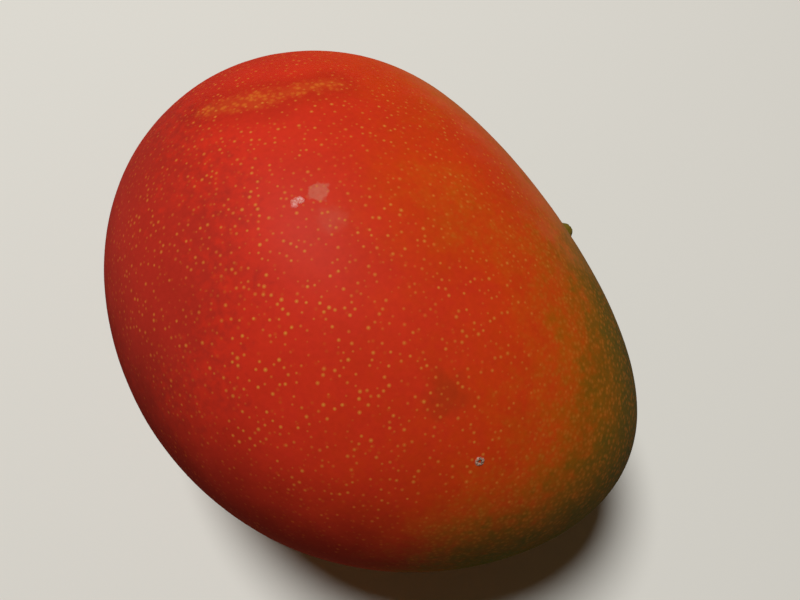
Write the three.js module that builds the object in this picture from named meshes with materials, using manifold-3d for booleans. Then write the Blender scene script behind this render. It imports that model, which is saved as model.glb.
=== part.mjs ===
// A ripe mango, as picked, lying on one cheek on a level surface.
// Millimetres, +Z up. The apex points along +X, the stem end along -X, and the
// ventral side, with the small beak, along +Y. The origin is at the middle of the
// resting box, level with the flat spot that the fruit lies on.

import * as THREE from 'three';
import { mergeVertices } from 'three/addons/utils/BufferGeometryUtils.js';
import Module from 'manifold-3d';

const wasm = await Module();
wasm.setup();

// ---- the whole fruit -------------------------------------------------------
const FRUIT_LENGTH = 118; // stem end to apex
const FRUIT_WIDTH = 91.3; // back to ventral side
const FRUIT_THICKNESS = 80; // cheek to cheek
const WIDTH_TAPER = 0.1; // share of the width lost from the middle to the apex
const THICKNESS_TAPER = 0.1; // the same for the thickness
const CHEEK_FULLNESS = 0.05; // how far the cheeks swell beyond an ellipse
const BACK_BOW = 5.5; // how far the middle bends towards the back
const BOW_SHIFT = 4.8; // how much more of that bend is near the apex

// ---- how it lies -----------------------------------------------------------
const LEAN_FORWARD = 4.7; // degrees that the apex dips
const LEAN_BACK = 5.9; // degrees that the ventral side dips
const FLAT_SPOT_DEPTH = 0.4; // flesh that the fruit's own weight presses flat

// ---- what stands out of the skin, or sinks into it -------------------------
// A direction names a place by its point on a round ball: length, ventral, up.
// The spread is the angle over which the swelling fades, in radians.
const SWELLINGS = [
  { name: 'ventral shoulder', direction: [-0.5, 0.86, 0], spread: 0.42, rise: 5.0 },
  { name: 'stem dimple', direction: [-1, 0, 0], spread: 0.17, rise: -2.2 },
];
const BEAK_DIRECTION = [0.35, 0.86, 0.35];
const BEAK_RADIUS = 2.5;
const BEAK_HEIGHT = 1.7;
const STEM_SCAR_RADIUS = 2.6;
const STEM_SCAR_HEIGHT = 0.9;
const ROOT_DEPTH = 1.5; // how deep the beak and the scar reach into the flesh

// ---- fineness --------------------------------------------------------------
const SEGMENTS_AROUND = 64;
const SEGMENTS_ALONG = 38;
const BOSS_SEGMENTS = 20;

const SKIN = new THREE.MeshStandardMaterial({ color: 0xb3321e, roughness: 0.38, metalness: 0 });

// The skin's point under a direction on a round ball.
function skinPoint(direction) {
  const { x: along, y: ventral, z: up } = direction;
  const bow = (BACK_BOW + BOW_SHIFT * along) * (1 - along * along);
  const point = new THREE.Vector3(
    (FRUIT_LENGTH / 2) * along,
    (FRUIT_WIDTH / 2) * ventral * (1 - WIDTH_TAPER * along) - bow,
    (FRUIT_THICKNESS / 2) * up * (1 - THICKNESS_TAPER * along) * (1 + CHEEK_FULLNESS * (1 - up * up)),
  );
  let rise = 0;
  for (const swelling of SWELLINGS) {
    const angle = direction.angleTo(new THREE.Vector3(...swelling.direction));
    rise += swelling.rise * Math.exp(-((angle / swelling.spread) ** 2));
  }
  return point.addScaledVector(point.clone().normalize(), rise);
}

// The outward direction of the skin, from two short steps along it.
function skinNormal(direction) {
  const step = 0.01;
  const side = new THREE.Vector3(0, 0, 1).cross(direction).normalize();
  const rise = direction.clone().cross(side).normalize();
  const here = skinPoint(direction);
  const across = skinPoint(direction.clone().addScaledVector(side, step).normalize()).sub(here);
  const upward = skinPoint(direction.clone().addScaledVector(rise, step).normalize()).sub(here);
  return across.cross(upward).normalize();
}

function solid(geometry) {
  const bare = geometry.clone();
  bare.deleteAttribute('normal');
  bare.deleteAttribute('uv');
  const merged = mergeVertices(bare, 1e-4);
  return new wasm.Manifold(new wasm.Mesh({
    numProp: 3,
    vertProperties: new Float32Array(merged.attributes.position.array),
    triVerts: new Uint32Array(merged.index.array),
  }));
}

function geometryOf(manifold) {
  const mesh = manifold.getMesh();
  const geometry = new THREE.BufferGeometry();
  geometry.setAttribute('position', new THREE.BufferAttribute(mesh.vertProperties, 3));
  geometry.setIndex(new THREE.BufferAttribute(mesh.triVerts, 1));
  return geometry;
}

// The body: a ball with its poles at the two ends, drawn out to the fruit's shape.
function makeBody() {
  const ball = new THREE.SphereGeometry(1, SEGMENTS_AROUND, SEGMENTS_ALONG);
  ball.rotateZ(-Math.PI / 2);
  const positions = ball.attributes.position;
  const direction = new THREE.Vector3();
  for (let i = 0; i < positions.count; i += 1) {
    direction.fromBufferAttribute(positions, i).normalize();
    positions.setXYZ(i, ...skinPoint(direction));
  }
  return ball;
}

// A low round-topped boss that grows out of the skin.
function makeBoss(radius, height, place) {
  const direction = new THREE.Vector3(...place).normalize();
  const profile = [
    new THREE.Vector2(0, -ROOT_DEPTH),
    new THREE.Vector2(1.2 * radius, -ROOT_DEPTH),
    new THREE.Vector2(1.2 * radius, -0.1 * height),
    new THREE.Vector2(0.95 * radius, 0.3 * height),
    new THREE.Vector2(0.75 * radius, 0.8 * height),
    new THREE.Vector2(0.45 * radius, 0.97 * height),
    new THREE.Vector2(0, height),
  ];
  const boss = new THREE.LatheGeometry(profile, BOSS_SEGMENTS);
  const turn = new THREE.Quaternion().setFromUnitVectors(new THREE.Vector3(0, 1, 0), skinNormal(direction));
  boss.applyQuaternion(turn);
  boss.translate(...skinPoint(direction));
  return boss;
}

// Everything joined, leant over to where it lies, and pressed flat where it rests.
function makeMango() {
  const beak = solid(makeBoss(BEAK_RADIUS, BEAK_HEIGHT, BEAK_DIRECTION));
  const scar = solid(makeBoss(STEM_SCAR_RADIUS, STEM_SCAR_HEIGHT, [-1, 0, 0]));
  const whole = geometryOf(solid(makeBody()).add(beak).add(scar));
  whole.rotateY(THREE.MathUtils.degToRad(LEAN_FORWARD));
  whole.rotateX(THREE.MathUtils.degToRad(-LEAN_BACK));
  whole.computeBoundingBox();
  const box = whole.boundingBox;
  const middle = box.getCenter(new THREE.Vector3());
  whole.translate(-middle.x, -middle.y, -box.min.z - FLAT_SPOT_DEPTH);

  const ground = new THREE.BoxGeometry(2 * FRUIT_LENGTH, 2 * FRUIT_LENGTH, FRUIT_THICKNESS);
  ground.translate(0, 0, -FRUIT_THICKNESS / 2);
  const geometry = geometryOf(solid(whole).subtract(solid(ground)));
  geometry.computeVertexNormals();
  const mango = new THREE.Mesh(geometry, SKIN);
  mango.name = 'mango';
  return mango;
}

const group = new THREE.Group();
group.add(makeMango());

export default group;
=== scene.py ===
import math

import bpy
import numpy as np
from mathutils import Euler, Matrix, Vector
from mathutils.bvhtree import BVHTree


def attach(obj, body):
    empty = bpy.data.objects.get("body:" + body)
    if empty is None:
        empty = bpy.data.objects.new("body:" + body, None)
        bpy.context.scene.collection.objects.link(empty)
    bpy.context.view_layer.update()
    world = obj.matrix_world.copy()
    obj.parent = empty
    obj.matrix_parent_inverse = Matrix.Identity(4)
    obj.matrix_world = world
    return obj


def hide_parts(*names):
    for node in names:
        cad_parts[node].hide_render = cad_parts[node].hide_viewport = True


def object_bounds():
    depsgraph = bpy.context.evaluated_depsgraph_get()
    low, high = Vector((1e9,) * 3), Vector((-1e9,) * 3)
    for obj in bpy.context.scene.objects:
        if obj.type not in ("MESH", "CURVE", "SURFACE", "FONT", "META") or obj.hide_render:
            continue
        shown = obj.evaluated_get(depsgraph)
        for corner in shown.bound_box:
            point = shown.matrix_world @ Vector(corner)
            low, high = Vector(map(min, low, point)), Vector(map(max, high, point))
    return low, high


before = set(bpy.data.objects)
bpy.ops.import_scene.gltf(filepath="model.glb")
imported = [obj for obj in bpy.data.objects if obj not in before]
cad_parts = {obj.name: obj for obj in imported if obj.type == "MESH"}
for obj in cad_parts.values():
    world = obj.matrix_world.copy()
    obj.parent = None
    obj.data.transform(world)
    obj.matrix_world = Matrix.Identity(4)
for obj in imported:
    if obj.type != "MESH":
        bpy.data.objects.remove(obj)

CAD_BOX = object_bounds()
MM = 0.001

# ---- the fruit's shape, in millimetres, as the solid frame has it ----------------
FRUIT_LENGTH = 118.0
FRUIT_WIDTH = 91.3
FRUIT_THICKNESS = 80.0
WIDTH_TAPER = 0.1
THICKNESS_TAPER = 0.1
CHEEK_FULLNESS = 0.05
BACK_BOW = 5.5
BOW_SHIFT = 4.8
LEAN_FORWARD = 4.7
LEAN_BACK = 5.9
FLAT_SPOT_DEPTH = 0.4
LEAN_SIDEWAYS = Euler((math.radians(-LEAN_BACK), 0.0, 0.0)).to_matrix()
LEAN_ENDWAYS = Euler((0.0, math.radians(LEAN_FORWARD), 0.0)).to_matrix()
LEAN = LEAN_SIDEWAYS @ LEAN_ENDWAYS
BOX_MARGIN = 0.06           # room left inside the solid's box for the lenticels
SHOULDER = {"direction": (-0.5, 0.86, 0.0), "spread": 0.42, "rise": 5.0}
STEM_DIMPLE = {"direction": (-1.0, 0.0, 0.0), "spread": 0.17, "rise": -2.2}
BEAK_DIRECTION = (0.35, 0.86, 0.35)
STEM_DIRECTION = (-1.0, 0.0, 0.0)

# ---- the fineness and unevenness of the skin --------------------------------------
SKIN_STEPS = 120            # points along each edge of the cube that becomes the skin
HOLLOW_DEPTH = 0.3          # slow hollows in the skin, millimetres
HOLLOW_SIZE = 24.0
POCK_DEPTH = 0.05           # small unevenness between the lenticels
POCK_SIZE = 4.5
RAY_START = 5.0             # above the skin, from where a mark is laid on it

# ---- lenticels, the pale pores all over the skin -----------------------------------
LENTICEL_GAP = 0.85         # never closer than this, millimetres
LENTICELS_TRIED = 0.6       # tries for each square millimetre, about six in ten of them kept
LENTICEL_RADIUS = 0.6
LENTICEL_HEIGHT = 0.03
LENTICEL_SINK = 0.012
LENTICEL_SIDES = 8
POINTS_IN_LENTICEL = 1 + LENTICEL_SIDES
LENTICEL_SEED = 7
LENTICEL_LOWEST = 0.15      # none on or beside the flat spot, millimetres above the floor

# ---- how much of its cell each mapped piece fills --------------------------------------
SIDE_SHARE = 0.985
PORE_SHARE = 0.42

# ---- how the colour runs over the skin ----------------------------------------------
# The run is -1 at the red stem end and back and rises towards the green apex, along
# a direction given as length, ventral side and up on a ball.
RUN_DIRECTION = (0.59, 0.62, -0.52)
SKIN_COLOURS = (
    (-1.0, (0.46, 0.026, 0.014)),   # crimson
    (-0.88, (0.62, 0.030, 0.013)),  # scarlet
    (-0.6, (0.62, 0.034, 0.010)),
    (-0.3, (0.61, 0.046, 0.006)),   # vermilion
    (-0.12, (0.58, 0.068, 0.005)),  # orange
    (0.0, (0.47, 0.088, 0.004)),    # amber
    (0.13, (0.28, 0.098, 0.004)),   # olive
    (0.29, (0.16, 0.091, 0.006)),
    (0.5, (0.10, 0.075, 0.010)),    # green
)
# Painted shade: along this direction the lower flank darkens to brown, or dark green where the skin is
# green, standing for the shade below the fruit's middle; further down the underside has its own russet
# brown.
SHADE_AND_UNDERSIDE_DIRECTION = (0.08, -0.32, -0.94)
PAINTED_SHADE_BROWN = (0.13, 0.007, 0.002)
PAINTED_SHADE_GREEN = (0.040, 0.044, 0.004)
UNDERSIDE_BROWN = (0.24, 0.055, 0.008)
PORE_YELLOW = (0.74, 0.33, 0.05)
PORE_ORANGE = (0.62, 0.13, 0.014)
PORE_AMBER = (0.54, 0.155, 0.016)
STREAK_ORANGE = (0.68, 0.15, 0.018)
BRUISE_BROWN = (0.30, 0.040, 0.006)
RUBBED_PINK = (0.60, 0.21, 0.13)
# painted sheen: the pale colour laid along the ventral shoulder for the glancing light on that edge
PAINTED_SHEEN_PALE = (0.64, 0.28, 0.11)
KNOB_OLIVE = (0.17, 0.115, 0.012)
KNOB_TIP = (0.045, 0.028, 0.012)
CORK_DARK = (0.05, 0.022, 0.010)
CORK_BROWN = (0.22, 0.105, 0.042)
SCAR_EDGE = (0.20, 0.055, 0.012)
SCAR_MIDDLE = (0.045, 0.024, 0.012)
PRICK_PINK = (0.22, 0.09, 0.06)
PRICK_CORK = (0.58, 0.40, 0.30)
PRICK_HOLE = (0.015, 0.009, 0.006)
SAP_PALE = (0.80, 0.50, 0.40)
SKIN_ROUGHNESS = 0.5
WAX = 0.085
WAX_ROUGHNESS = 0.46

# ---- the studio -----------------------------------------------------------------------
CAMERA_LENS = 30
CAMERA_TARGET = (3.2, 5.1, 40.7)
CAMERA_AZIMUTH = 40.6
CAMERA_ELEVATION = 67.0
CAMERA_DISTANCE = 138.4     # millimetres, from the target
CAMERA_NEAREST = 0.01
FLOOR_HALF_SIZE = 1.5       # metres
FLOOR_PALE = (0.80, 0.79, 0.73)
FLOOR_ROUGHNESS = 0.9
WINDOW = {"azimuth": -106, "elevation": 72, "distance": 1.4, "size": 0.45, "power": 16.3}
ROOM_WARM = (1.0, 0.6, 0.3)
ROOM_STRENGTH = 0.045
WALL_PALE = (0.52, 0.51, 0.48)

# ---- marks on the skin, in millimetres in the frame ----------------------------------
STREAK = ((-35.7, -0.4, 75.4), (-27.9, 7.4, 77.6), (-22.9, 17.5, 76.0))
STREAK_HALF_WIDTH = 2.4
BRUISE = (27.0, -12.2, 72.0)
RUB = (-7.3, -2.0, 80.4)
RUB_TAIL = (-2.6, -4.0, 80.0)
ORANGE_CHEEK = (5.0, 9.0, 78.0)
RED_BAND = (24.0, 0.0, 74.0)
RED_EDGE = (8.0, 31.0, 61.0)
GREEN_EDGE = (44.0, -24.0, 50.0)
BRIGHT_PORES = (-12.0, -25.0, 68.0)
# A painted sheen: a pale band along the ventral shoulder, standing for the glancing light on that edge.
SHEEN_BAND = ((-14.0, 40.0, 58.0), (22.0, 33.0, 57.0))
SHEEN_BAND_HALF_WIDTH = 10.0
HEALED_PRICK = (36.7, -15.3, 65.7)
SAP_FLECK = (-8.6, -5.4, 80.4)


class Link:
    """One output of a node, on which arithmetic adds Math nodes to its tree."""

    def __init__(self, tree, socket):
        self.tree = tree
        self.socket = socket

    def math(self, operation, *values):
        sockets = dict(enumerate((self, *values)))
        return self.tree.add("ShaderNodeMath", {"operation": operation}, sockets)

    def __add__(self, other):
        return self.math("ADD", other)

    def __sub__(self, other):
        return self.math("SUBTRACT", other)

    def __rsub__(self, other):
        return self.tree.add("ShaderNodeMath", {"operation": "SUBTRACT"}, {0: other, 1: self})

    def __mul__(self, other):
        return self.math("MULTIPLY", other)

    def __truediv__(self, other):
        return self.math("DIVIDE", other)

    def __neg__(self):
        return self.math("MULTIPLY", -1.0)

    def __pow__(self, other):
        return self.math("POWER", other)

    __radd__ = __add__
    __rmul__ = __mul__


class Tree:
    """A shader or geometry tree that is being drawn up."""

    def __init__(self, nodes_owner):
        self.tree = nodes_owner
        self.nodes = nodes_owner.nodes

    def add(self, kind, settings=None, values=None, output=0):
        """Adds a node: its settings first, then the value or link of each named socket."""
        node = self.nodes.new(kind)
        for name, setting in (settings or {}).items():
            if name == "stops":
                self.set_stops(node.color_ramp, setting)
            else:
                setattr(node, name, setting)
        for key, value in (values or {}).items():
            if isinstance(value, Link):
                self.tree.links.new(value.socket, node.inputs[key])
            else:
                node.inputs[key].default_value = value
        return Link(self, node.outputs[output])

    @staticmethod
    def set_stops(ramp, stops):
        while len(ramp.elements) < len(stops):
            ramp.elements.new(1.0)
        for element, (place, colour) in zip(ramp.elements, stops):
            element.position = place
            element.color = (*colour, 1.0)

    def vector(self, operation, *values, output=0):
        sockets = dict(enumerate(values))
        return self.add("ShaderNodeVectorMath", {"operation": operation}, sockets, output)

    def length(self, vector):
        return self.vector("LENGTH", vector, output=1)

    def dot(self, one, other):
        return self.vector("DOT_PRODUCT", one, other, output=1)

    def scaled(self, vector, factor):
        return self.add("ShaderNodeVectorMath", {"operation": "SCALE"}, {0: vector, 3: factor})

    def parts(self, vector):
        link = self.add("ShaderNodeSeparateXYZ", None, {0: vector})
        return [Link(self, socket) for socket in link.socket.node.outputs]

    def join(self, x, y, z):
        return self.add("ShaderNodeCombineXYZ", None, {0: x, 1: y, 2: z})

    def noise(self, place, scale, detail=2.0, roughness=0.5):
        sockets = {"Vector": place, "Scale": scale, "Detail": detail, "Roughness": roughness}
        return self.add("ShaderNodeTexNoise", None, sockets)

    def step(self, value, low, high):
        """0 below low, 1 above high and smooth between; falling where high is the smaller."""
        sockets = {"Value": value, "From Min": low, "From Max": high}
        return self.add("ShaderNodeMapRange", {"interpolation_type": "SMOOTHSTEP"}, sockets)

    def mix(self, factor, first, second):
        sockets = {0: factor, 6: self.colour(first), 7: self.colour(second)}
        return self.add("ShaderNodeMix", {"data_type": "RGBA"}, sockets, output=2)

    @staticmethod
    def colour(value):
        return (*value, 1.0) if isinstance(value, tuple) else value


# ---- geometry trees ----------------------------------------------------------------
class Maker(Tree):
    """A geometry tree with named inputs, run once to make a plain mesh."""

    def __init__(self, name, inputs):
        super().__init__(bpy.data.node_groups.new(name, "GeometryNodeTree"))
        self.values = inputs
        face = self.tree.interface
        face.new_socket("Geometry", in_out="INPUT", socket_type="NodeSocketGeometry")
        for label, value in inputs.items():
            kind = "NodeSocketInt" if isinstance(value, int) else "NodeSocketFloat"
            face.new_socket(label, in_out="INPUT", socket_type=kind)
        face.new_socket("Geometry", in_out="OUTPUT", socket_type="NodeSocketGeometry")
        self.entry = self.nodes.new("NodeGroupInput")

    def input(self, label):
        return Link(self, self.entry.outputs[label])

    def store(self, geometry, name, kind, value):
        sockets = {"Geometry": geometry, "Name": name, "Value": value}
        return self.add("GeometryNodeStoreNamedAttribute", {"data_type": kind}, sockets)

    def random(self, low, high, seed):
        sockets = {2: low, 3: high, "Seed": seed}
        return self.add("FunctionNodeRandomValue", {"data_type": "FLOAT"}, sockets, output=1)

    def finish(self, geometry, material):
        whole = self.add("GeometryNodeRealizeInstances", None, {0: geometry})
        painted = self.add("GeometryNodeSetMaterial", None, {"Geometry": whole, "Material": material})
        leave = self.nodes.new("NodeGroupOutput")
        self.tree.links.new(painted.socket, leave.inputs[0])

    def run(self, name, start):
        """Runs the tree on a start mesh and keeps the result as an object of its own."""
        holder = bpy.data.objects.new(name, start)
        bpy.context.collection.objects.link(holder)
        modifier = holder.modifiers.new("making", "NODES")
        modifier.node_group = self.tree
        for item in self.tree.interface.items_tree:
            if item.in_out == "INPUT" and item.name in self.values:
                modifier[item.identifier] = self.values[item.name]
        evaluated = holder.evaluated_get(bpy.context.evaluated_depsgraph_get())
        mesh = bpy.data.meshes.new_from_object(evaluated)
        holder.modifiers.remove(modifier)
        holder.data = mesh
        mesh.name = name
        return holder


def swelling(tree, direction, place):
    """How far the skin rises at a direction because of one swelling or dimple."""
    peak = Vector(place["direction"]).normalized()
    nearness = tree.dot(direction, tuple(peak)).math("MINIMUM", 1.0)
    spread = nearness.math("ARCCOSINE") / place["spread"]
    return (-(spread * spread)).math("EXPONENT") * (place["rise"] * MM)


def skin_tree(material):
    """The fruit's skin: an even cube, rounded to a ball and drawn out to the fruit."""
    sizes = {
        "Steps": SKIN_STEPS,
        "Length": FRUIT_LENGTH * MM,
        "Width": FRUIT_WIDTH * MM,
        "Thickness": FRUIT_THICKNESS * MM,
        "Hollow depth": HOLLOW_DEPTH * MM,
        "Pock depth": POCK_DEPTH * MM,
    }
    tree = Maker("skin of the fruit", sizes)
    steps = tree.input("Steps")
    cube_size = {"Size": (2.0, 2.0, 2.0), "Vertices X": steps, "Vertices Y": steps, "Vertices Z": steps}
    cube = tree.add("GeometryNodeMeshCube", None, cube_size)
    corner = tree.add("GeometryNodeInputPosition")
    named = tree.store(cube, "cube_place", "FLOAT_VECTOR", corner)
    even = tree.join(*[(part * (math.pi / 4)).math("TANGENT") for part in tree.parts(corner)])
    direction = tree.vector("NORMALIZE", even)

    along, ventral, up = tree.parts(direction)
    bow = (along * (BOW_SHIFT * MM) + BACK_BOW * MM) * (1 - along * along)
    x = tree.input("Length") * 0.5 * along
    y = tree.input("Width") * 0.5 * ventral * (1 - along * WIDTH_TAPER) - bow
    fullness = (1 - up * up) * CHEEK_FULLNESS + 1
    z = tree.input("Thickness") * 0.5 * up * (1 - along * THICKNESS_TAPER) * fullness
    ellipse = tree.join(x, y, z)
    rise = swelling(tree, direction, SHOULDER) + swelling(tree, direction, STEM_DIMPLE)
    hollow = tree.noise(ellipse, 1 / (HOLLOW_SIZE * MM)) * tree.input("Hollow depth")
    pock = tree.noise(ellipse, 1 / (POCK_SIZE * MM)) * tree.input("Pock depth")
    outward = tree.scaled(tree.vector("NORMALIZE", ellipse), rise - hollow - pock)
    whole = tree.vector("ADD", ellipse, outward)
    moved = tree.add("GeometryNodeSetPosition", None, {"Geometry": named, "Position": whole})
    smooth = tree.add("GeometryNodeSetShadeSmooth", None, {"Geometry": moved})
    tree.finish(smooth, material)
    return tree


def lay_down(mesh):
    """Leans the mesh to where the fruit lies, presses its lowest part flat, gives its middle."""
    mesh.transform(LEAN.to_4x4())
    places = mesh_places(mesh)
    shift = np.array(CAD_BOX[1]) - BOX_MARGIN * MM - places.max(axis=0)
    shift[2] = -places[:, 2].min() - FLAT_SPOT_DEPTH * MM
    places += shift
    places[:, 2] = places[:, 2].clip(min=0.0)
    mesh.vertices.foreach_set("co", places.ravel())
    mesh.update()
    return Vector(shift)


def mesh_places(mesh):
    places = np.empty(3 * len(mesh.vertices))
    mesh.vertices.foreach_get("co", places)
    return places.reshape(-1, 3)


def attribute_values(mesh, name):
    values = np.empty(3 * len(mesh.vertices))
    mesh.attributes[name].data.foreach_get("vector", values)
    return values.reshape(-1, 3)


def loop_points(mesh):
    points = np.empty(len(mesh.loops), dtype=int)
    mesh.loops.foreach_get("vertex_index", points)
    return points


def set_map(mesh, flat):
    """Gives the mesh a map of its own, one flat point for each corner of a face."""
    layer = mesh.uv_layers.new(name="OFBake")
    layer.data.foreach_set("uv", flat.ravel())


def map_cube_sides(mesh):
    """Maps each of the cube's six sides to a cell of its own, three across and two up."""
    corners = attribute_values(mesh, "cube_place")[loop_points(mesh)]
    sides = corners.reshape(-1, 4, 3)
    middle = sides.mean(axis=1)
    axis = np.abs(middle).argmax(axis=1)
    positive = middle[np.arange(len(middle)), axis] > 0
    flat = np.empty((len(middle), 4, 2))
    for side_axis in range(3):
        chosen = axis == side_axis
        others = [a for a in range(3) if a != side_axis]
        flat[chosen] = sides[chosen][:, :, others]
    cell = np.stack([axis, positive.astype(int)], axis=1)[:, None, :]
    flat = (cell + 0.5 + flat * 0.5 * SIDE_SHARE) / np.array([3.0, 2.0])
    set_map(mesh, flat)
    mesh.attributes.remove(mesh.attributes["cube_place"])


def map_lenticels(mesh):
    """Maps each lenticel to a small square of its own in an even grid."""
    places = attribute_values(mesh, "pore_place")
    corners = loop_points(mesh)
    number = corners // POINTS_IN_LENTICEL
    across = math.ceil(math.sqrt(number.max() + 1))
    cell = np.stack([number % across, number // across], axis=1)
    flat = (cell + 0.5 + places[corners][:, :2] * PORE_SHARE) / across
    set_map(mesh, flat)


def lenticel_tree(material):
    """Low round pores, spread evenly over a skin and each turned to lie on it."""
    sizes = {
        "Gap": LENTICEL_GAP * MM,
        "Tries": LENTICELS_TRIED / MM ** 2,
        "Radius": LENTICEL_RADIUS * MM,
        "Height": LENTICEL_HEIGHT / LENTICEL_RADIUS,
        "Sink": LENTICEL_SINK / LENTICEL_RADIUS,
        "Sides": LENTICEL_SIDES,
        "Seed": LENTICEL_SEED,
        "Lowest": LENTICEL_LOWEST * MM,
    }
    tree = Maker("lenticels of the fruit", sizes)
    above = tree.parts(tree.add("GeometryNodeInputPosition"))[2].math("GREATER_THAN", tree.input("Lowest"))
    spread = {
        "Mesh": Link(tree, tree.entry.outputs["Geometry"]),
        "Distance Min": tree.input("Gap"),
        "Density Max": tree.input("Tries"),
        "Seed": tree.input("Seed"),
        "Selection": above,
    }
    points = tree.add("GeometryNodeDistributePointsOnFaces", {"distribute_method": "POISSON"}, spread)
    turns = Link(tree, points.socket.node.outputs["Rotation"])

    cone_size = {"Vertices": tree.input("Sides"), "Radius Bottom": 1.0, "Depth": 1.0}
    cone = tree.add("GeometryNodeMeshCone", {"fill_type": "NONE"}, cone_size)
    across, deep, _ = tree.parts(tree.add("GeometryNodeInputPosition"))
    dome = (1 - (across * across + deep * deep)) * tree.input("Height") - tree.input("Sink")
    lowered = {"Geometry": cone, "Position": tree.join(across, deep, dome)}
    low = tree.add("GeometryNodeSetPosition", None, lowered)
    named = tree.store(low, "pore_place", "FLOAT_VECTOR", tree.join(across, deep, 0.0))

    vigour = tree.random(0.25, 1.0, 1)
    marked = tree.store(points, "vigour", "FLOAT", vigour)
    size = (vigour * 0.4 + tree.random(0.4, 0.65, 2)) * tree.input("Radius")
    placing = {"Points": marked, "Instance": named, "Rotation": turns, "Scale": tree.join(size, size, size)}
    pores = tree.add("GeometryNodeInstanceOnPoints", None, placing)
    tree.finish(pores, material)
    return tree


class Patch:
    """A round patch of fine rings over the skin, for what is too small for its mesh."""

    def __init__(self, ground, near):
        self.ground = ground
        self.middle, self.normal, _, _ = ground.find_nearest(near)
        self.side = self.normal.orthogonal().normalized()
        self.other = self.normal.cross(self.side)

    def on_skin(self, radius, angle):
        offset = self.side * math.cos(angle) + self.other * math.sin(angle)
        start = self.middle + offset * radius + self.normal * RAY_START * MM
        return self.ground.ray_cast(start, -self.normal)[0]

    def build(self, name, radius, rings, segments, height):
        """Makes the patch; height gives millimetres off the skin at a share and an angle."""
        rows = [[self.middle + self.normal * height(0.0, 0.0) * MM]]
        shares = [0.0]
        for ring in range(1, rings + 1):
            share = ring / rings
            row = []
            for step in range(segments):
                angle = 2 * math.pi * step / segments
                lift = self.normal * height(share, angle) * MM
                row.append(self.on_skin(radius * share * MM, angle) + lift)
            rows.append(row)
            shares += [share] * segments
        points = [point for row in rows for point in row]
        faces = [(0, 1 + step, 1 + (step + 1) % segments) for step in range(segments)]
        for ring in range(rings - 1):
            inner = 1 + ring * segments
            outer = inner + segments
            for step in range(segments):
                after = (step + 1) % segments
                faces.append((inner + step, outer + step, outer + after, inner + after))
        mesh = bpy.data.meshes.new(name)
        mesh.from_pydata(points, [], faces)
        mesh.shade_smooth()
        mesh.attributes.new("share", "FLOAT", "POINT").data.foreach_set("value", shares)
        patch = bpy.data.objects.new(name, mesh)
        bpy.context.collection.objects.link(patch)
        return patch


def ripple(angle, *waves):
    """A sum of sines round a circle, each given as its count, size and turn."""
    return sum(size * math.sin(count * angle + turn) for count, size, turn in waves)


def ease(share, start, stop):
    place = min(max((share - start) / (stop - start), 0.0), 1.0)
    return place * place * (3 - 2 * place)


def beak_height(share, angle):
    """A blunt knob that leans out of a soft foot and ends in a small dry pit."""
    knob = 1.35 * (1 - ease(share, 0.2, 0.72))
    foot = 0.3 * (1 - ease(share, 0.5, 1.0))
    pit = 0.35 * (1 - ease(share, 0.0, 0.16))
    creases = ripple(angle, (5, 0.05, 0.4), (9, 0.035, 1.9), (3, 0.08, 2.6)) * math.sin(math.pi * share)
    return knob + foot - pit + creases - 0.03 * share


def scar_height(share, angle):
    """The woody scar of the stalk: a low uneven rim round a sunken rough middle."""
    edge = 0.8 + ripple(angle, (2, 0.05, 0.4), (3, 0.06, 1.0), (5, 0.04, 2.1))
    rim = 0.42 * ease(share, 0.2, 0.55) * (1 - ease(share, edge - 0.12, edge + 0.16))
    middle = 0.2 * (1 - ease(share, 0.0, 0.3)) + 0.16 * (1 - ease(share, 0.4, 0.85))
    uneven = 1 + ripple(angle, (2, 0.25, 1.4), (3, 0.2, 0.2), (7, 0.14, 0.9))
    rough = ripple(angle, (11, 0.05, 0.3), (17, 0.04, 1.1), (29, 0.03, 2.0))
    woody = rough * math.sin(math.pi * min(share / edge, 1.0))
    return (rim + middle) * uneven + woody - 0.04 * ease(share, 0.8, 1.0)


def prick_height(share, angle):
    """A healed prick: a corky ring round a small dark hole."""
    ring = 0.13 * ease(share, 0.2, 0.45) * (1 - ease(share, 0.6, 1.0))
    hole = 0.22 * (1 - ease(share, 0.05, 0.36))
    rough = ripple(angle, (3, 0.03, 0.7), (7, 0.025, 2.2), (11, 0.015, 1.0)) * math.sin(math.pi * share)
    return ring - hole + rough + 0.03 * (1 - share) - 0.02 * share


def fleck_height(share, angle):
    """A thin dried drop with a crinkled edge."""
    edge = 0.62 + ripple(angle, (2, 0.22, 0.5), (3, 0.10, 1.2), (7, 0.05, 0.2))
    crinkle = ripple(angle * 3 + 9 * share, (1, 0.012, 0.0), (4, 0.008, 1.3))
    film = 0.05 * (1 - ease(share, edge - 0.12, edge)) + crinkle * (share < edge)
    return film - 0.025 * ease(share, edge, 1.0)


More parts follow.
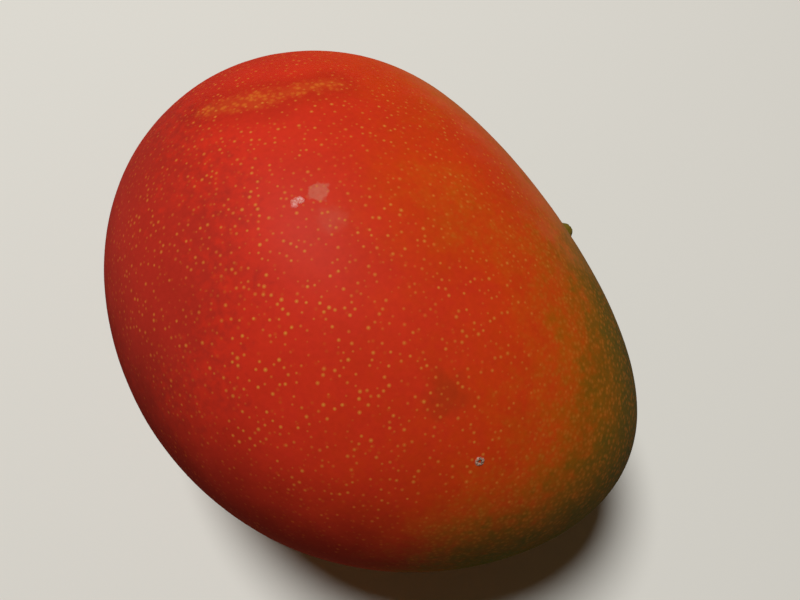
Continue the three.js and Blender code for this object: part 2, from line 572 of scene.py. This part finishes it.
# ---- materials ----------------------------------------------------------------------
class Look(Tree):
    """A material being drawn up, with the places that its patterns are laid out in."""

    def __init__(self, name):
        self.material = bpy.data.materials.new(name)
        self.material.use_nodes = True
        self.material.node_tree.nodes.clear()
        super().__init__(self.material.node_tree)
        self.place = self.add("ShaderNodeTexCoord", output=3)

    def near(self, centre, radius, raggedness=0.0, grain=1.0, core=0.3):
        """1 at a place given in millimetres, fading to 0 at a ragged edge round it."""
        away = self.length(self.vector("SUBTRACT", self.place, tuple(Vector(centre) * MM)))
        ragged = self.noise(self.place, 1 / (grain * MM), 3.0) - 0.5
        return self.step(away + ragged * (raggedness * MM), radius * MM, core * radius * MM)

    def near_line(self, start, stop, half_width):
        """How far the place is from a line between two points, over the half width."""
        begin = Vector(start) * MM
        line = Vector(stop) * MM - begin
        from_start = self.vector("SUBTRACT", self.place, tuple(begin))
        share = self.dot(from_start, tuple(line / line.length_squared))
        share = share.math("MAXIMUM", 0.0).math("MINIMUM", 1.0)
        foot = self.scaled(tuple(line), share)
        return self.length(self.vector("SUBTRACT", from_start, foot)) / (half_width * MM)

    def attribute(self, name, output):
        return self.add("ShaderNodeAttribute", {"attribute_name": name}, output=output)

    def show(self, surface):
        leave = self.nodes.new("ShaderNodeOutputMaterial")
        self.tree.links.new(surface.socket, leave.inputs["Surface"])
        return self.material


def colour_run(look, ball):
    """How far the skin has turned from red to green, -1 to 1, with its mottling."""
    run = look.dot(ball, tuple(Vector(RUN_DIRECTION).normalized()))
    slow = look.noise(look.place, 1 / (20 * MM), 2.0) - 0.5
    patchy = look.noise(look.place, 1 / (5 * MM), 3.0) - 0.5
    speckled = look.noise(look.place, 1 / (1.5 * MM), 3.0) - 0.5
    orange = look.near(ORANGE_CHEEK, 17, 8, 7) * 0.2
    green = look.near(GREEN_EDGE, 23, 10, 7, 0.0) * 0.27
    red = look.near(RED_BAND, 12, 8, 7) * 0.1 + look.near(RED_EDGE, 24, 6, 7) * 0.21
    mottling = patchy * 0.34 * look.step(run, -1.0, -0.55)
    return run + orange + green - red + slow * 0.2 + mottling + speckled * 0.3


def skin_colour(look, fruit_middle):
    """The skin's colour under its lenticels: faint pores painted where it is amber, painted sheen on the
    ventral shoulder, painted shade on the lower flank.
    """
    half = (FRUIT_LENGTH / 2 * MM, FRUIT_WIDTH / 2 * MM, FRUIT_THICKNESS / 2 * MM)
    fit = {"Vector": look.place, "Location": fruit_middle, "Rotation": LEAN.to_euler(), "Scale": half}
    ball = look.add("ShaderNodeMapping", {"vector_type": "TEXTURE"}, fit)
    run = colour_run(look, ball)
    stops = [((place + 1) / 2, colour) for place, colour in SKIN_COLOURS]
    colour = look.add("ShaderNodeValToRGB", {"stops": stops}, {0: run * 0.5 + 0.5})

    first = look.near_line(STREAK[0], STREAK[1], STREAK_HALF_WIDTH)
    second = look.near_line(STREAK[1], STREAK[2], STREAK_HALF_WIDTH * 0.8)
    torn = (look.noise(look.place, 1 / (2.4 * MM), 5.0, 0.65) - 0.5) * 3.2
    band = first.math("MINIMUM", second)
    colour = look.scaled(colour, 1 - look.step(band, 3.6, 1.2) * 0.14)
    streak = look.step(band + torn, 1.5, 0.1)
    dots = look.add("ShaderNodeTexVoronoi", None, {"Vector": look.place, "Scale": 1 / (1.1 * MM)})
    dotted = look.step(dots, 0.62, 0.12) * 0.62 + 0.2
    colour = look.mix(streak * dotted, colour, STREAK_ORANGE)
    colour = look.mix(look.near(BRUISE, 4.6, 5, 3) * 0.45, colour, BRUISE_BROWN)
    patch = look.near(RUB, 2.2, 3.6, 2.6, 0.75)
    rub = patch + look.near(RUB_TAIL, 3.2, 5.0, 2.5) * 0.3
    rub = rub.math("MINIMUM", 1.0) * (look.noise(look.place, 1 / (0.6 * MM), 3.0) * 0.7 + 0.45)
    colour = look.mix(rub * 0.55, colour, RUBBED_PINK)

    # painted sheen: a pale band along the ventral shoulder stands for the glancing light on that edge
    uneven = look.noise(look.place, 1 / (5 * MM), 4.0)
    painted_sheen = look.step(look.near_line(*SHEEN_BAND, SHEEN_BAND_HALF_WIDTH) + (uneven - 0.5) * 2.4, 1.9, -0.2)
    colour = look.mix(painted_sheen * (uneven * 0.3 + 0.14), colour, PAINTED_SHEEN_PALE)

    stem_end = look.step(look.parts(ball)[0], -0.5, -0.95)
    colour = look.scaled(colour, 1 - stem_end * 0.28)
    # painted shade: a band on the lower flank is darkened to brown or dark green for the shade there; below
    # it the underside turns to its own colour
    depth = look.dot(ball, tuple(Vector(SHADE_AND_UNDERSIDE_DIRECTION).normalized()))
    depth = depth + (look.noise(look.place, 1 / (7 * MM), 4.0) - 0.5) * 0.2
    painted_shade_colour = look.mix(look.step(run, -0.35, 0.3), PAINTED_SHADE_BROWN, PAINTED_SHADE_GREEN)
    painted_shade = look.step(depth, -0.43, 0.23)
    colour = look.mix(painted_shade * 0.87, colour, painted_shade_colour)
    colour = look.mix(look.step(depth, 0.15, 0.95) * 0.8, colour, UNDERSIDE_BROWN)
    cells = {"Vector": look.place, "Scale": 1 / (0.95 * MM)}
    pores = look.step(look.add("ShaderNodeTexVoronoi", None, cells), 0.58, 0.0)
    # the painted amber pores fade in the painted shade
    colour = look.mix(pores * look.step(run, -0.3, 0.0) * (0.6 - painted_shade * 0.52), colour, PORE_AMBER)
    shade = look.noise(look.place, 1 / (8 * MM), 4.0) * 0.22 + 0.89
    grain = look.noise(look.place, 1 / (0.9 * MM), 2.0) * 0.2 + 0.9
    return look.scaled(colour, shade * grain), run, rub, painted_shade


def skin_surface(look, colour, rub, painted_shade):
    """A dull skin under a thin film of wax, finely uneven, and rougher where it is rubbed."""
    fine = look.noise(look.place, 1 / (0.55 * MM), 2.0)
    grain = look.noise(look.place, 1 / (2.6 * MM), 2.0)
    relief = {"Height": fine * 0.35 + grain, "Strength": 0.4, "Distance": 0.06 * MM}
    bump = look.add("ShaderNodeBump", None, relief)
    values = {
        "Base Color": colour,
        "Roughness": grain * 0.14 + rub * 0.12 + SKIN_ROUGHNESS,
        "Specular IOR Level": 0.0,
        # the wax is thinner where shade is painted, so its reflection dims there as well
        "Coat Weight": (1 - painted_shade * 0.6) * WAX,
        "Coat Roughness": WAX_ROUGHNESS,
        "Normal": bump,
    }
    return look.add("ShaderNodeBsdfPrincipled", None, values)


def skin_look(fruit_middle):
    look = Look("mango skin")
    colour, run, rub, painted_shade = skin_colour(look, fruit_middle)
    cells = {"Vector": look.place, "Scale": 1 / (1.3 * MM)}
    away = look.add("ShaderNodeTexVoronoi", None, cells)
    tone = look.parts(look.add("ShaderNodeTexVoronoi", None, cells, output=1))[0]
    freckle = look.step(away, 0.34, 0.0) * look.step(tone, 0.3, 1.0) * look.step(run, 0.3, -0.05)
    colour = look.mix(freckle * 0.4, colour, PORE_ORANGE)
    return look.show(skin_surface(look, colour, rub, painted_shade))


def lenticel_look(fruit_middle):
    """The skin's own look, turning yellow towards the middle of each pore."""
    look = Look("lenticels")
    colour, run, rub, painted_shade = skin_colour(look, fruit_middle)
    away = look.length(look.attribute("pore_place", 1))
    zone = look.step(look.noise(look.place, 1 / (9 * MM), 2.0), 0.3, 0.62) * 0.75 + 0.45
    crimson = look.step(run, -1.05, -0.75) * 0.6 + 0.4
    green = look.step(run, 0.15, -0.45) * 0.75 + 0.25
    # painted shade: the pores dim on the lower flank along with the painted shade on the skin
    painted_shade_dimming = 1 - look.step(painted_shade, 0.0, 0.75) * 0.88
    bright = look.near(BRIGHT_PORES, 36, 8, 9, 0.25) * 0.62 + 0.68
    vigour = look.attribute("vigour", 2) ** 1.5
    strength = (vigour * zone * bright * crimson * green * painted_shade_dimming).math("MINIMUM", 1.0)
    inward = (1 - away).math("MAXIMUM", 0.0)
    colour = look.mix(inward * strength * 0.8, colour, PORE_ORANGE)
    colour = look.mix(inward ** 3.0 * strength, colour, PORE_YELLOW)
    return look.show(skin_surface(look, colour, rub, painted_shade))


def beak_look(fruit_middle):
    """Skin at the foot, turning olive up the knob and dry brown at its tip."""
    look = Look("beak")
    colour, _, rub, painted_shade = skin_colour(look, fruit_middle)
    share = look.attribute("share", 2) + (look.noise(look.place, 1 / (0.6 * MM)) - 0.5) * 0.15
    colour = look.mix(look.step(share, 0.85, 0.55), colour, KNOB_OLIVE)
    colour = look.mix(look.step(share, 0.3, 0.12), colour, KNOB_TIP)
    return look.show(skin_surface(look, colour, rub, painted_shade))


def scar_look(fruit_middle):
    """Skin at the edge, a brown corky rim and a dark woody middle."""
    look = Look("stem scar")
    colour, _, _, painted_shade = skin_colour(look, fruit_middle)
    ragged = look.attribute("share", 2) + (look.noise(look.place, 1 / (1.2 * MM), 5.0) - 0.5) * 0.5
    fibres = look.noise(look.place, 1 / (0.5 * MM), 5.0, 0.7)
    cork = look.mix(fibres, CORK_DARK, CORK_BROWN)
    colour = look.mix(look.step(ragged, 1.0, 0.72) * 0.6, colour, SCAR_EDGE)
    colour = look.mix(look.step(ragged, 0.85, 0.62), colour, cork)
    colour = look.mix(look.step(ragged, 0.42, 0.2) * 0.55, colour, SCAR_MIDDLE)
    return look.show(skin_surface(look, colour, look.step(ragged, 0.9, 0.7), painted_shade))


def prick_look(fruit_middle):
    """A whitish corky ring, pinker at its edge, round a near black hole."""
    look = Look("healed prick")
    colour, _, _, painted_shade = skin_colour(look, fruit_middle)
    share = look.attribute("share", 2)
    ragged = share + (look.noise(look.place, 1 / (0.4 * MM), 3.0) - 0.5) * 1.5
    flecked = look.step(look.noise(look.place, 1 / (0.2 * MM), 3.0), 0.35, 0.65)
    cork = look.mix(flecked, PRICK_PINK, PRICK_CORK)
    colour = look.mix(look.step(ragged, 0.95, 0.7), colour, cork)
    colour = look.mix(look.step(ragged, 0.48, 0.22), colour, PRICK_HOLE)
    return look.show(skin_surface(look, colour, look.step(share, 1.0, 0.8), painted_shade))


def fleck_look(fruit_middle):
    """Thin dried sap: the skin seen through a pale shiny film."""
    look = Look("dried sap")
    colour = skin_colour(look, fruit_middle)[0]
    film = look.step(look.noise(look.place, 1 / (0.4 * MM), 3.0), 0.35, 0.75)
    thick = look.step(look.attribute("share", 2), 0.8, 0.45)
    colour = look.mix(film * thick * 0.55 + thick * 0.12, colour, SAP_PALE)
    values = {"Base Color": colour, "Roughness": 0.42 - film * 0.12, "Specular IOR Level": 0.16}
    return look.show(look.add("ShaderNodeBsdfPrincipled", None, values))


def plain_look(name, colour, roughness):
    look = Look(name)
    values = {"Base Color": (*colour, 1.0), "Roughness": roughness}
    return look.show(look.add("ShaderNodeBsdfPrincipled", None, values))


# ---- the studio ----------------------------------------------------------------------
def direction_from(azimuth, elevation):
    a = math.radians(azimuth)
    e = math.radians(elevation)
    return Vector((math.sin(a) * math.cos(e), -math.cos(a) * math.cos(e), math.sin(e)))


def make_camera():
    data = bpy.data.cameras.new("camera")
    data.lens = CAMERA_LENS
    data.clip_start = CAMERA_NEAREST
    camera = bpy.data.objects.new("camera", data)
    bpy.context.collection.objects.link(camera)
    target = Vector(CAMERA_TARGET) * MM
    back = direction_from(CAMERA_AZIMUTH, CAMERA_ELEVATION)
    camera.location = target + back * CAMERA_DISTANCE * MM
    camera.rotation_euler = (-back).to_track_quat("-Z", "Y").to_euler()
    bpy.context.scene.camera = camera


def make_floor():
    mesh = bpy.data.meshes.new("floor")
    half = FLOOR_HALF_SIZE
    corners = [(-half, -half, 0), (half, -half, 0), (half, half, 0), (-half, half, 0)]
    mesh.from_pydata(corners, [], [(0, 1, 2, 3)])
    floor = bpy.data.objects.new("floor", mesh)
    mesh.materials.append(plain_look("pale floor", FLOOR_PALE, FLOOR_ROUGHNESS))
    bpy.context.collection.objects.link(floor)


def make_light(name, azimuth, elevation, distance, size, power):
    data = bpy.data.lights.new(name, "AREA")
    data.shape = "DISK"
    data.size = size
    data.energy = power
    light = bpy.data.objects.new(name, data)
    bpy.context.collection.objects.link(light)
    away = direction_from(azimuth, elevation)
    light.location = away * distance
    light.rotation_euler = (-away).to_track_quat("-Z", "Y").to_euler()


def make_world():
    """Warm, weak light from all round, and a pale wall where the floor ends."""
    world = bpy.data.worlds.new("room")
    world.use_nodes = True
    world.node_tree.nodes.clear()
    room = Tree(world.node_tree)
    glow = room.add("ShaderNodeBackground", None, {"Color": (*ROOM_WARM, 1), "Strength": ROOM_STRENGTH})
    wall = room.add("ShaderNodeBackground", None, {"Color": (*WALL_PALE, 1), "Strength": 1.0})
    seen = room.add("ShaderNodeLightPath")
    both = room.add("ShaderNodeMixShader", None, {0: seen, 1: glow, 2: wall})
    leave = room.nodes.new("ShaderNodeOutputWorld")
    room.tree.links.new(both.socket, leave.inputs["Surface"])
    bpy.context.scene.world = world


# ---- the whole -------------------------------------------------------------------------
def keep(piece, material):
    piece.data.materials.clear()
    piece.data.materials.append(material)
    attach(piece, "root")


def make_fruit():
    first_look = plain_look("unpainted", (0.5, 0.5, 0.5), 0.5)
    skin = skin_tree(first_look).run("mango_skin", bpy.data.meshes.new("start"))
    fruit_middle = lay_down(skin.data)
    map_cube_sides(skin.data)
    lenticels = lenticel_tree(first_look).run("lenticels", skin.data)
    map_lenticels(lenticels.data)

    ground = BVHTree.FromObject(skin, bpy.context.evaluated_depsgraph_get())
    half = Vector((FRUIT_LENGTH, FRUIT_WIDTH, FRUIT_THICKNESS)) * 0.5 * MM

    def beside(direction):
        return fruit_middle + LEAN @ (Vector(direction) * half)

    beak_foot = beside(BEAK_DIRECTION) - LEAN @ Vector((0, BACK_BOW * MM, 0))
    # name, where, radius in millimetres, rings, points in a ring, height, look
    marks = (
        ("beak", beak_foot, 3.4, 26, 56, beak_height, beak_look),
        ("stem_scar", beside(STEM_DIRECTION), 3.6, 26, 72, scar_height, scar_look),
        ("healed_prick", Vector(HEALED_PRICK) * MM, 0.88, 16, 40, prick_height, prick_look),
        ("sap_fleck", Vector(SAP_FLECK) * MM, 1.55, 20, 56, fleck_height, fleck_look),
    )
    keep(skin, skin_look(fruit_middle))
    keep(lenticels, lenticel_look(fruit_middle))
    for name, near, radius, rings, segments, height, look in marks:
        patch = Patch(ground, near).build(name, radius, rings, segments, height)
        keep(patch, look(fruit_middle))
    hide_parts("mango")


make_camera()
make_floor()
make_light("window", **WINDOW)
make_world()
bpy.context.scene.view_settings.view_transform = "Standard"
make_fruit()
